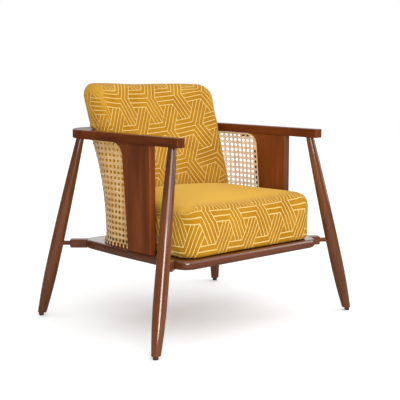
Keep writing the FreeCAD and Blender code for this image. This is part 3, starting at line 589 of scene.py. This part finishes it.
backShape = {"shrink": 0.0, "voxel": 0.0056, "ripple": 0.0006}
backCut = {"pitch": 0.112, "spacing": 0.0123, "recline": 15.7, "nodeX": 0.050, "nodeV": 0.440, "footY": 0.032,
           "seam": 0.214, "sideAcross": 0.025, "sideUp": 0.027, "rearFacing": 0.6}
backWarp = {"tilt": 0.259, "tiltFrom": -0.16, "pull": 3.0, "pullFrom": -0.165,
            "acrossShift": 0.0007, "across": 0.961, "acrossUp": 0.026, "acrossBoth": 0.234, "acrossBend": 0.65,
            "upShift": 0.0059, "up": 0.902, "upBoth": 0.147}
backPrint = {"outward": (0.4, 0.8), "seamHalf": (0.003, 0.010), "seamOut": 0.004, "seamRise": (0.58, 0.66),
             "cornerRise": (0.662, 0.682), "cornerAcross": (0.196, 0.210), "rearDepth": (0.030, 0.055),
             "litLowRise": (0.52, 0.56), "plain": 0.9, "rearPlain": 0.75}

backLook = {**cloth, "plain": (0.53, 0.285, 0.030, 1)}
backCloth = makeCloth("backCloth", backLook, backCut["pitch"], backCut["spacing"])
overRail = {"start": -0.001, "full": 0.007, "end": 0.034, "corner": 0.014, "rear": 0.008,
            "peakLeft": 0.009, "peakRight": -0.005, "peakAcross": (0.06, 0.22), "peakDepth": (0.10, 0.22),
            "peakRise": (0.58, 0.68), "peakLean": (0.6, 0.5, 0.6)}


def swellOverRail(place, normal):
    # the cloth that the rail holds in below swells out over the rail's top
    rise = place.z - armTop
    amount = (smoothStep(overRail["start"], overRail["full"], rise)
              * (1 - smoothStep(0, overRail["end"], rise)))
    corner = 2 * abs(normal.x) * max(normal.y, 0.0)
    out = overRail["corner"] * corner + overRail["rear"] * max(normal.y, 0.0)
    # the filling stands up in the left rear corner at the top and has settled in the right one
    peak = (overRail["peakLeft" if place.x < 0 else "peakRight"]
            * smoothStep(*overRail["peakAcross"], abs(place.x))
            * smoothStep(*overRail["peakDepth"], place.y) * smoothStep(*overRail["peakRise"], place.z))
    leanX, leanY, leanZ = overRail["peakLean"]
    return (Vector((normal.x, normal.y, 0)) * (amount * out)
            + Vector((math.copysign(leanX, place.x), leanY, leanZ)) * peak)


backCushion, backMesh, backBefore = cushionPiece("backCushion", "back_cushion", backCloth, backShape,
                                                 swellOverRail)


def backDepth(place):
    # how far behind the front panel's plane
    slope = math.tan(math.radians(backCut["recline"]))
    return max(place.y - backCut["footY"] - (place.z - deckTop) * slope, 0.0)


def backCutAt(place, normal, middle, facing):
    depth = backDepth(place)
    along = (place.z - deckTop) / math.cos(math.radians(backCut["recline"])) - backCut["nodeV"]
    if facing.y > backCut["rearFacing"]:
        return (-place.x, along)
    share = sideShare(normal)
    across = place.x + math.copysign(depth * share, place.x) - backCut["nodeX"]
    up = along + depth * (1 - share)
    if abs(middle.x) > backCut["seam"]:
        return (across + backCut["sideAcross"], up + backCut["sideUp"])
    # the front panel is stretched a little askew, more so to the right, and pulled up along the left seam
    warp = backWarp
    tilt = warp["tilt"] * max(across - warp["tiltFrom"], 0.0) ** 2
    pull = warp["pull"] * max(warp["pullFrom"] - place.x, 0.0) ** 2
    return (warp["acrossShift"] + warp["across"] * across + warp["acrossUp"] * up
            + warp["acrossBoth"] * across * up - warp["acrossBend"] * across ** 2,
            warp["upShift"] - tilt - pull + warp["up"] * up + warp["upBoth"] * across * up)


def backPrintAt(place, normal):
    # plain along the seam towards the top, over the top corners and low on the sides; faint at their rear.
    # Plain low on the sides is painted light: the lighter unprinted mustard on sides seen in shade through the
    # cane
    outward = smoothStep(*backPrint["outward"], abs(normal.x))
    fromSeam = abs(abs(place.x) - backCut["seam"] - backPrint["seamOut"])
    seam = (1 - smoothStep(*backPrint["seamHalf"], fromSeam)) * smoothStep(*backPrint["seamRise"], place.z)
    corner = (smoothStep(*backPrint["cornerRise"], place.z)
              * smoothStep(*backPrint["cornerAcross"], abs(place.x)))
    rear = smoothStep(*backPrint["rearDepth"], backDepth(place)) * outward
    low = (1 - smoothStep(*backPrint["litLowRise"], place.z)) * outward
    return 1.0 - max(backPrint["plain"] * seam, backPrint["plain"] * corner, backPrint["rearPlain"] * rear, low)


cutMap(backMesh, backBefore, backCutAt, backPrintAt)
print("back cushion made:", len(backMesh.polygons), "faces")

for cushion in (seatCushion, backCushion):
    smoother = cushion.modifiers.new("smoother", "SUBSURF")
    smoother.levels = 1
    smoother.render_levels = 1


# cane: one woven cell, repeated and bent onto the barrel

barrel = {
    "front": -0.055,
    "baseRadius": 0.130,
    "topRadius": 0.122,
    "topInset": 0.004,
    "flare": 2.4,
    "half": 0.0012,
    "baseHalf": 0.006,
}
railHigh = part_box("cane_base_rail")[1]
baseSide, baseBack = railHigh.x - barrel["baseHalf"], railHigh.y - barrel["baseHalf"]
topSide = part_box("arm_right")[0].x + barrel["topInset"]
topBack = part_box("cane_panel")[1].y - barrel["half"]


def barrelPoint(along, height, out):
    # along runs from the left front edge round to the right one, 0 to 1; height is in metres
    share = max((height - deckTop) / (armUnder - deckTop), 0.0)
    side = baseSide + (topSide - baseSide) * share
    back = baseBack + (topBack - baseBack) * share ** barrel["flare"]
    radius = barrel["baseRadius"] + (barrel["topRadius"] - barrel["baseRadius"]) * share
    mirror = -1 if along <= 0.5 else 1
    part = min(along, 1 - along)
    straight = back - radius - barrel["front"]
    turn = radius * quarter
    total = 2 * (straight + turn + side - radius)
    run = part * total
    if run < straight:
        return Vector((mirror * (side + out), barrel["front"] + run, height))
    if run < straight + turn:
        angle = (run - straight) / radius
        reach = radius + out
        return Vector((mirror * (side - radius + reach * math.cos(angle)),
                       back - radius + reach * math.sin(angle), height))
    return Vector((mirror * (side - radius - (run - straight - turn)), back + out, height))


splat = {"footRear": -0.040, "neckRear": -0.016, "flare": 0.038, "flareEdge": 0.002}


def splatRear(height):
    flareTop = armUnder - splat["flareEdge"]
    neck = flareTop - splat["flare"]
    if height <= neck:
        slope = (splat["neckRear"] - splat["footRear"]) / (neck - deckTop)
        return splat["footRear"] + slope * (height - deckTop)
    rise = min(height - neck, splat["flare"])
    return splat["neckRear"] + splat["flare"] - math.sqrt(splat["flare"] ** 2 - rise ** 2)


def trimAtPanels(bm, kept):
    # what would stand more than kept inside the side panels goes
    past = [vertex for vertex in bm.verts if vertex.co.y < splatRear(vertex.co.z) - kept]
    bmesh.ops.delete(bm, geom=past, context="VERTS")


caneLook = {
    "pale": (0.845, 0.590, 0.290, 1),
    "deep": (0.71, 0.44, 0.170, 1),
    "edge": (0.40, 0.20, 0.075, 1),
    "relief": 0.0002,
}


def makeCane(look):
    material, tree, shader = newMaterial("naturalCane")
    place = put(tree, "ShaderNodeTexCoord").outputs["Object"]
    blotch = noiseField(tree, place, 26.0, 3.0)
    fibre = noiseField(tree, place, 700.0, 3.0)
    ground = blendColour(tree, ramp(tree, blotch, 0.0, 1.0, 0.32, 0.68), look["pale"], look["deep"])
    dark = ramp(tree, fibre, 0.0, 0.5, 0.5, 0.8)
    feed(tree, shader["Base Color"], blendColour(tree, dark, ground, look["edge"]))
    feed(tree, shader["Roughness"], ramp(tree, fibre, 0.34, 0.55))
    feed(tree, shader["Normal"], bumpFrom(tree, fibre, look["relief"]))
    return material


naturalCane = makeCane(caneLook)
weave = {"columns": 52, "rows": 18, "cellWide": 0.0182, "strand": 0.0018, "thick": 0.0009, "pair": 0.0034,
         "lift": 0.0006, "diagonal": 0.0021, "diagonalLift": 1.6, "hidden": 0.010, "merge": 0.00005}
cellWide = weave["cellWide"]
cellHigh = (armUnder - railHigh.z) / weave["rows"]
pairX, pairY = (cellWide - weave["pair"]) / 2, (cellHigh - weave["pair"]) / 2


def addStrand(bm, start, end, width, cuts, lift):
    # one flat strand; lift gives its height over the sheet along the way
    run = Vector(end) - Vector(start)
    place = (Matrix.Translation((Vector(start) + Vector(end)) / 2)
             @ Matrix.Rotation(math.atan2(run.y, run.x), 4, "Z")
             @ Matrix.Diagonal((run.length, width, weave["thick"], 1)))
    before = set(bm.verts)
    sameWay = 0.9
    bmesh.ops.create_cube(bm, size=1.0, matrix=place)
    heading = run.normalized()
    added = [vertex for vertex in bm.verts if vertex not in before]
    long = [edge for edge in {edge for vertex in added for edge in vertex.link_edges}
            if abs((edge.verts[0].co - edge.verts[1].co).normalized().dot(heading)) > sameWay]
    bmesh.ops.subdivide_edges(bm, edges=long, cuts=cuts)
    added = [vertex for vertex in bm.verts if vertex not in before]
    faces = {face for vertex in added for face in vertex.link_faces}
    bm.normal_update()
    caps = [face for face in faces if abs(face.normal.dot(heading)) > sameWay]
    for vertex in added:
        share = (vertex.co - Vector(start)).dot(heading) / run.length
        vertex.co.z += lift(share)
    bmesh.ops.delete(bm, geom=caps, context="FACES_ONLY")


def caneCell():
    bm = bmesh.new()
    halfWide, halfHigh = cellWide / 2, cellHigh / 2
    lift = weave["lift"]
    for side in (-1, 1):
        addStrand(bm, (side * pairX, -halfHigh, 0), (side * pairX, halfHigh, 0), weave["strand"], 3,
                  lambda share, side=side: side * lift * math.cos(2 * math.pi * share))
        addStrand(bm, (-halfWide, side * pairY, 0), (halfWide, side * pairY, 0), weave["strand"], 3,
                  lambda share, side=side: -side * lift * math.cos(2 * math.pi * share))
        for rise in (-1, 1):
            addStrand(bm, (side * halfWide, 0, 0), (0, rise * halfHigh, 0), weave["diagonal"], 1,
                      lambda share, top=side * rise: top * lift * weave["diagonalLift"])
    return bm


caneSheet = newPiece("caneSheet", meshFrom("caneSheet", caneCell()), naturalCane)
for axis, count in ((0, weave["columns"]), (1, weave["rows"])):
    repeat = caneSheet.modifiers.new("repeat", "ARRAY")
    repeat.count = count
    repeat.use_relative_offset = False
    repeat.use_constant_offset = True
    repeat.constant_offset_displace = (cellWide, 0, 0) if axis == 0 else (0, cellHigh, 0)
    repeat.use_merge_vertices = True
    repeat.merge_threshold = weave["merge"]
caneMesh = applied(caneSheet)
for vertex in caneMesh.vertices:
    along = (vertex.co.x / cellWide + 0.5) / weave["columns"]
    height = railHigh.z + vertex.co.y + cellHigh / 2
    vertex.co = barrelPoint(along, min(height, armUnder), vertex.co.z)
bm = bmesh.new()
bm.from_mesh(caneMesh)
trimAtPanels(bm, weave["hidden"])
bm.to_mesh(caneMesh)
bm.free()
shadeSmooth(caneMesh)
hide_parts("cane_panel")
print("cane woven:", len(caneMesh.polygons), "faces")


# lacing over the base rail

lacing = {"width": 0.0024, "thick": 0.0008, "hidden": 0.002, "out": 0.0067, "edgeOut": 0.75, "rise": 0.005}
# each strip from its foot up over the rail's edge: how far out, over which level, how high above it
lacingSteps = ((lacing["out"], deckTop, 0.0004), (lacing["out"], railHigh.z, -0.002),
               (lacing["out"] * lacing["edgeOut"], railHigh.z, 0.0012), (0.0004, railHigh.z, lacing["rise"]))


def laceOverRail():
    bm = bmesh.new()
    for column in range(weave["columns"]):
        for side in (-1, 1):
            middle = (column + 0.5) * cellWide + side * pairX
            strip = bmesh.ops.create_grid(bm, x_segments=1, y_segments=3, size=0.5)["verts"]
            for vertex in strip:
                out, level, above = lacingSteps[round((vertex.co.y + 0.5) * 3)]
                along = (middle + vertex.co.x * lacing["width"]) / (cellWide * weave["columns"])
                vertex.co = barrelPoint(along, level + above, out)
    trimAtPanels(bm, lacing["hidden"])
    bmesh.ops.recalc_face_normals(bm, faces=bm.faces)
    bmesh.ops.solidify(bm, geom=bm.faces[:], thickness=lacing["thick"])
    return bm


caneLacing = newPiece("caneLacing", meshFrom("caneLacing", laceOverRail()), naturalCane)
shadeSmooth(caneLacing.data)


# binding cane inside, along the rail and down the side panels, with dark discs beside it as the painted shade
# of the laced holes

binding = {"radius": 0.0026, "in": -0.0030, "top": 0.0036, "turn": 0.034, "beside": 0.0035, "foot": 0.004,
           "clear": 0.004, "sideEnds": 0.8, "sideSteps": 12, "turnSteps": 8, "topSteps": 59,
           "facets": 3}


def sideAt(height):
    share = (height - deckTop) / (armUnder - deckTop)
    return baseSide + (topSide - baseSide) * share + binding["in"]


def bindingPath():
    # right half, from the platform up, round the corner and back to the middle
    topZ = armUnder - binding["top"]
    points = []
    low = deckTop + binding["foot"]
    turnLow = topZ - binding["turn"]
    for step in range(binding["sideSteps"] + 1):
        height = low + (turnLow - low) * step / binding["sideSteps"]
        points.append(Vector((sideAt(height), splatRear(height) + binding["beside"], height)))
    startY = points[-1].y
    for step in range(1, binding["turnSteps"] + 1):
        angle = quarter * step / binding["turnSteps"]
        height = turnLow + binding["turn"] * math.sin(angle)
        points.append(Vector((sideAt(height), startY + binding["turn"] * (1 - math.cos(angle)), height)))
    reached = points[-1].y
    for step in range(binding["topSteps"] + 1):
        along = 1 - 0.5 * step / binding["topSteps"]
        place = barrelPoint(along, topZ, binding["in"])
        if place.y > reached + binding["clear"] or along < binding["sideEnds"]:
            points.append(place)
    return points


rightPath = bindingPath()
wholePath = [Vector((-place.x, place.y, place.z)) for place in rightPath] + rightPath[-2::-1]
curve = bpy.data.curves.new("bindingCane", "CURVE")
curve.dimensions = "3D"
curve.bevel_depth = binding["radius"]
curve.bevel_resolution = binding["facets"]
line = curve.splines.new("POLY")
line.points.add(len(wholePath) - 1)
for point, place in zip(line.points, wholePath):
    point.co = (*place, 1)
bent = newObject("bindingCane", curve)
shapes = bpy.context.evaluated_depsgraph_get()
bindingMesh = bpy.data.meshes.new_from_object(bent.evaluated_get(shapes))
bpy.data.objects.remove(bent)
shadeSmooth(bindingMesh)
newPiece("bindingCane", bindingMesh, naturalCane)

holes = {"radius": 0.0037, "tall": 1.25, "depth": 0.0012, "beside": 0.0108, "in": -0.0024, "rowsLeftOut": 3,
         "topDepths": (0.0472, 0.0275), "topDrop": 0.0078, "topWide": 1.45, "gloss": 0.05, "facets": 12,
         "dark": (0.012, 0.005, 0.003, 1), "lighterShade": (0.035, 0.014, 0.007, 1)}


# flat dark discs beside the binding: the painted shade of the laced holes
def lacedHoleShadeDiscs():
    bm = bmesh.new()
    rows = [railHigh.z + (row + 0.5) * cellHigh for row in range(weave["rows"] - holes["rowsLeftOut"])]
    spots = [(splatRear(height) + holes["beside"], height, 1, holes["tall"]) for height in rows]
    spots += [(depth, armUnder - holes["topDrop"], holes["topWide"], 1) for depth in holes["topDepths"]]
    for side in (-1, 1):
        for depth, height, wide, tall in spots:
            place = Vector((side * (sideAt(height) - binding["in"] + holes["in"]), depth, height))
            turn = (Matrix.Translation(place) @ Matrix.Diagonal((1, wide, tall, 1))
                    @ Matrix.Rotation(quarter, 4, "Y"))
            bmesh.ops.create_cone(bm, cap_ends=True, segments=holes["facets"], radius1=holes["radius"],
                                  radius2=holes["radius"], depth=holes["depth"], matrix=turn)
    return bm


def makeHoleShade():
    material, tree, shader = newMaterial("paintedHoleShade")
    holeMottle = noiseField(tree, put(tree, "ShaderNodeTexCoord").outputs["Object"], 500.0)
    feed(tree, shader["Base Color"], blendColour(tree, holeMottle, holes["dark"], holes["lighterShade"]))
    feed(tree, shader["Roughness"], ramp(tree, holeMottle, 0.7, 0.9))
    shader["Specular IOR Level"].default_value = holes["gloss"]
    return material


newPiece("lacedHoleShadeDiscs", meshFrom("lacedHoleShadeDiscs", lacedHoleShadeDiscs()), makeHoleShade())
print("binding and holes made")


# floor, light and camera

floorLook = {"half": 6.0, "colour": (0.9, 0.9, 0.9, 1), "mirrored": (0.22, 0.2, 0.19, 1),
             "glow": (0.16, 0.16, 0.16, 1), "unlit": (0, 0, 0, 1), "roughness": 0.9}
bm = bmesh.new()
bmesh.ops.create_grid(bm, x_segments=1, y_segments=1, size=floorLook["half"])
floorMesh = meshFrom("floor", bm)
floor = newObject("floor", floorMesh)
floorPaint, floorTree, floorShader = newMaterial("paleFloor")
floorRays = put(floorTree, "ShaderNodeLightPath").outputs
# the floor shows darker in reflections, and glows for camera rays only: painted light that lifts the chair's
# shadow on the floor
feed(floorTree, floorShader["Base Color"],
     blendColour(floorTree, floorRays["Is Glossy Ray"], floorLook["colour"], floorLook["mirrored"]))
feed(floorTree, floorShader["Emission Color"],
     blendColour(floorTree, floorRays["Is Camera Ray"], floorLook["unlit"], floorLook["glow"]))
floorShader["Emission Strength"].default_value = 1.0
floorShader["Roughness"].default_value = floorLook["roughness"]
floorMesh.materials.append(floorPaint)

world = bpy.data.worlds.new("studio")
world.use_nodes = True
surround = {"seen": 1.0, "lighting": 0.5, "mirrored": 0.12, "backdrop": 1.0, "backdropX": 0.67,
            "backdropY": 0.74, "backdropEdge": (0.5, 0.9), "backdropFoot": (0.02, 0.10)}
worldTree = world.node_tree
rays = put(worldTree, "ShaderNodeLightPath").outputs
heading = put(worldTree, "ShaderNodeSeparateXYZ")
feed(worldTree, heading.inputs[0], put(worldTree, "ShaderNodeTexCoord").outputs["Generated"])
behind = calc(worldTree, "ADD", calc(worldTree, "MULTIPLY", heading.outputs[0], surround["backdropX"]),
              calc(worldTree, "MULTIPLY", heading.outputs[1], surround["backdropY"]))
bright = calc(worldTree, "MULTIPLY", ramp(worldTree, behind, 0.0, 1.0, *surround["backdropEdge"]),
              ramp(worldTree, heading.outputs[2], 0.0, 1.0, *surround["backdropFoot"]))
mirrored = mixValues(worldTree, bright, surround["mirrored"], surround["backdrop"])
glow = mixValues(worldTree, rays["Is Glossy Ray"], surround["lighting"], mirrored)
feed(worldTree, worldTree.nodes["Background"].inputs["Strength"],
     mixValues(worldTree, rays["Is Camera Ray"], glow, surround["seen"]))
worldTree.nodes["Background"].inputs["Color"].default_value = (1.0, 1.0, 1.0, 1)
bpy.context.scene.world = world

chairMiddle = Vector((0, 0, 0.38))
studio = [
    {"name": "lowBox", "place": (-1.6, -2.6, 0.62), "size": (1.1, 1.0), "power": 28},
    {"name": "highBox", "place": (-1.6, -2.6, 1.75), "size": (1.9, 1.2), "power": 19},
    {"name": "rightFill", "place": (2.6, -1.4, 1.4), "size": (1.2, 2.0), "power": 15},
]
for lamp in studio:
    light = bpy.data.lights.new(lamp["name"], "AREA")
    light.shape = "RECTANGLE"
    light.size, light.size_y = lamp["size"]
    light.energy = lamp["power"]
    lampObject = newObject(lamp["name"], light)
    lampObject.location = lamp["place"]
    lampObject.rotation_euler = (chairMiddle - Vector(lamp["place"])).to_track_quat("-Z", "Y").to_euler()

skyLook = {"power": 2.2, "spread": 120, "tiltX": 20, "tiltY": 14}
sky = bpy.data.lights.new("softSky", "SUN")
sky.energy = skyLook["power"]
sky.angle = math.radians(skyLook["spread"])
newObject("softSky", sky).rotation_euler = (math.radians(skyLook["tiltX"]), math.radians(skyLook["tiltY"]), 0)

view = {"place": (-1.8884, -2.1433, 0.7534), "azimuth": 41.82, "down": 8.02, "lens": 85.8, "sensor": 36.0}
camera = newObject("camera", bpy.data.cameras.new("camera"))
camera.data.sensor_width = view["sensor"]
camera.data.lens = view["lens"]
camera.location = view["place"]
camera.rotation_euler = (math.radians(90 - view["down"]), 0, math.radians(-view["azimuth"]))
bpy.context.scene.camera = camera
bpy.context.scene.view_settings.view_transform = "Standard"
print("stage set")
